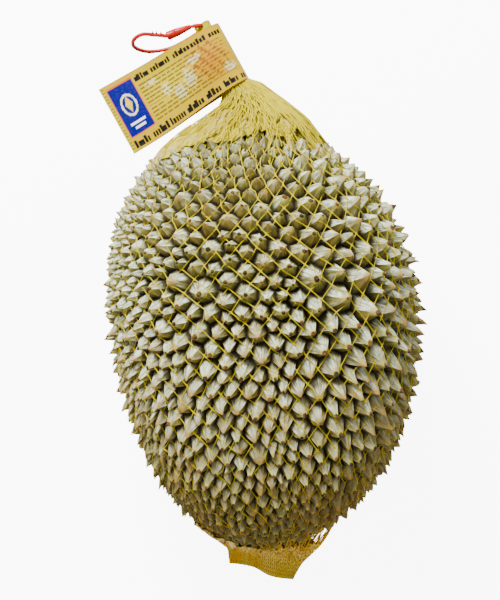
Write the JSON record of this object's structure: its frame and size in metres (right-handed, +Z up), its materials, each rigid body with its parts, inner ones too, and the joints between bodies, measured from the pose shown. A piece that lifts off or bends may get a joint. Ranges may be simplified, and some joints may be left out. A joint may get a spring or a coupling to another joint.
{
  "type": "netted durian fruit",
  "caption": "Whole spiny durian lying on its side in a tubular diamond-mesh net bag, with a folded label looped round the bunched neck and a moulded loop tie.",
  "frame": {"origin": "the middle of the small flat spot that the fruit rests on, on the surface it lies on", "axes": "+Z up, away from the resting surface; +Y along the fruit's long axis towards the stem end, the bunched neck of the net and its label; +X completes the right-handed set"},
  "size_m": [0.2056, 0.3516, 0.1821],
  "materials": {
    "husk": "matte",
    "net": "satin",
    "net_seam": "satin",
    "label_film": "gloss",
    "tie_plastic": "satin"
  },
  "bodies": {
    "root": {"durian_fruit": "husk", "net_sleeve": "net", "net_neck": "net", "net_seam": "net_seam", "header_label": "label_film", "loop_tie": "tie_plastic"}
  },
  "joints": []
}
